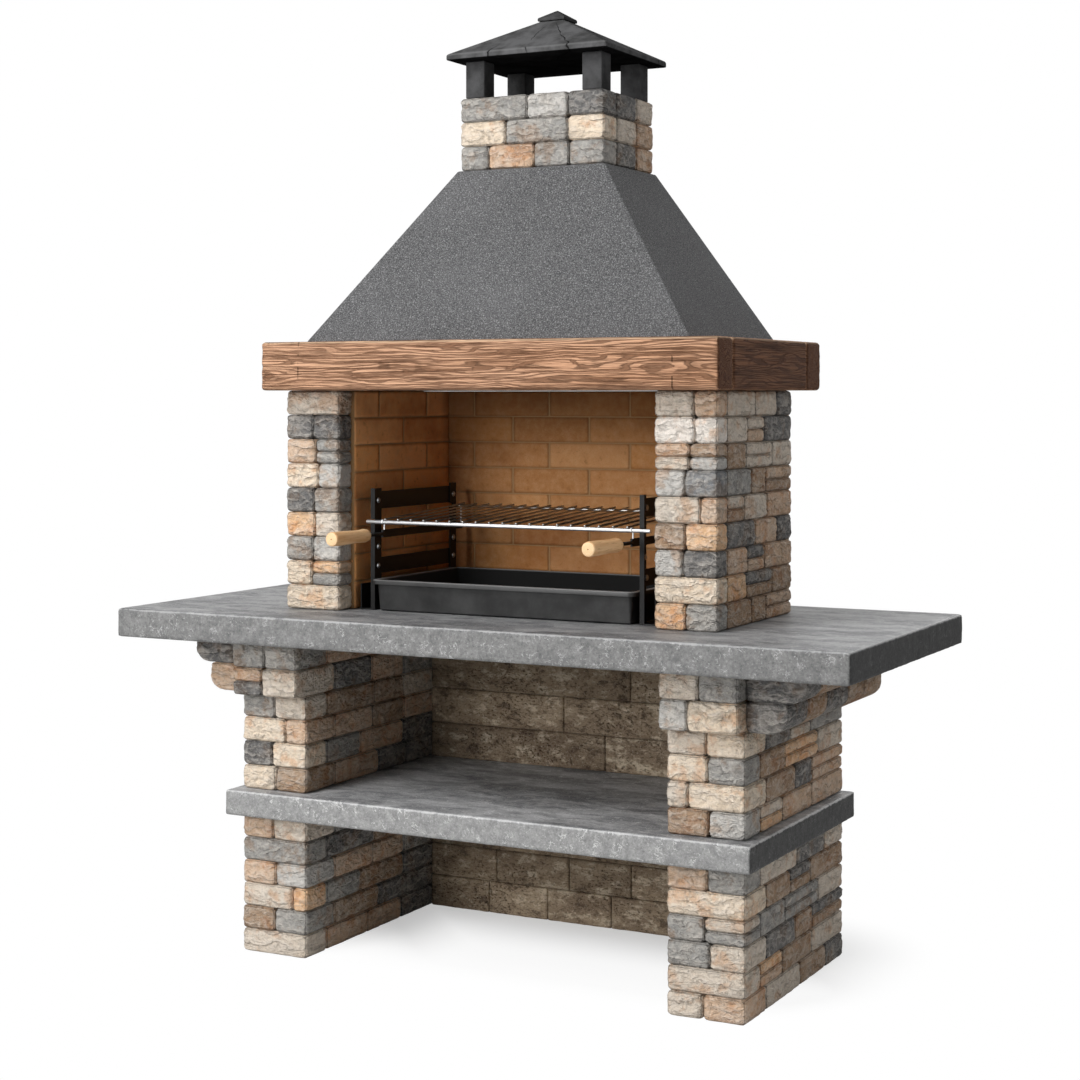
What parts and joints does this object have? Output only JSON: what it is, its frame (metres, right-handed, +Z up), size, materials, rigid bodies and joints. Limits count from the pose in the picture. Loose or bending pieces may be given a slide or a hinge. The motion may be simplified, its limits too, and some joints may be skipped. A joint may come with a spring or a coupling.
{
  "type": "masonry barbecue",
  "caption": "Free-standing stone barbecue: slab shelf and worktop on coursed legs, firebrick hearth with lift-out grate and charcoal tray, timber ring, hood and chimney.",
  "frame": {"origin": "on the ground, at the middle of the bounding box's base", "axes": "+Z up, +X to the right seen from the cook's side, -Y towards the cook"},
  "size_m": [1.933, 0.849, 2.3758],
  "materials": {
    "split_stone": "split face, mixed greys, tans and creams",
    "slate_slab": "riven grey slab, streaked, with pale flecks",
    "cast_panel": "rough cast, pitted",
    "firebrick": "matt tan brick with thin joints",
    "beam_timber": "weathered, open grain",
    "hood_render": "dark grey granular render",
    "cap_concrete": "charcoal cast concrete",
    "black_steel": "satin black",
    "zinc_fastener": "zinc plated",
    "grate_chrome": "bright chrome plate",
    "grip_wood": "turned pale wood",
    "tray_steel": "satin black enamel"
  },
  "bodies": {
    "masonry": {"left_leg_lower_stones": "split_stone", "right_leg_lower_stones": "split_stone", "left_leg_upper_stones": "split_stone", "right_leg_upper_stones": "split_stone", "left_corbel_stones": "split_stone", "right_corbel_stones": "split_stone", "left_pillar_stones": "split_stone", "right_pillar_stones": "split_stone", "chimney_stones": "split_stone", "shelf_slab": "slate_slab", "worktop_slab": "slate_slab", "lower_back_panel": "cast_panel", "upper_back_panel": "cast_panel", "hearth_rear_wall": "cast_panel", "firebrick_left_lining": "firebrick", "firebrick_right_lining": "firebrick", "firebrick_back_lining": "firebrick", "front_beam": "beam_timber", "rear_beam": "beam_timber", "left_beam": "beam_timber", "right_beam": "beam_timber", "hood_shell": "hood_render", "cap_posts": "cap_concrete", "cap_roof": "cap_concrete", "cap_finial": "cap_concrete", "left_front_upright": "black_steel", "left_rear_upright": "black_steel", "right_front_upright": "black_steel", "right_rear_upright": "black_steel", "left_upper_rail": "black_steel", "left_lower_rail": "black_steel", "right_upper_rail": "black_steel", "right_lower_rail": "black_steel", "left_base_angle": "black_steel", "right_base_angle": "black_steel", "rack_bolts": "zinc_fastener", "rack_nuts": "zinc_fastener"},
    "grate": {"grate_front_rod": "grate_chrome", "grate_rear_rod": "grate_chrome", "grate_bars": "grate_chrome", "grate_hooks": "grate_chrome", "left_handle_arm": "black_steel", "right_handle_arm": "black_steel", "left_grip": "grip_wood", "right_grip": "grip_wood"},
    "tray": {"charcoal_tray": "tray_steel"}
  },
  "joints": [
    {"name": "grate_lift", "type": "slide", "parent": "masonry", "child": "grate", "axis": [0, -0.9511, 0.309], "range_m": [0, 0.22]},
    {"name": "tray_pull", "type": "slide", "parent": "masonry", "child": "tray", "axis": [0, -1, 0], "range_m": [0, 0.33]}
  ]
}
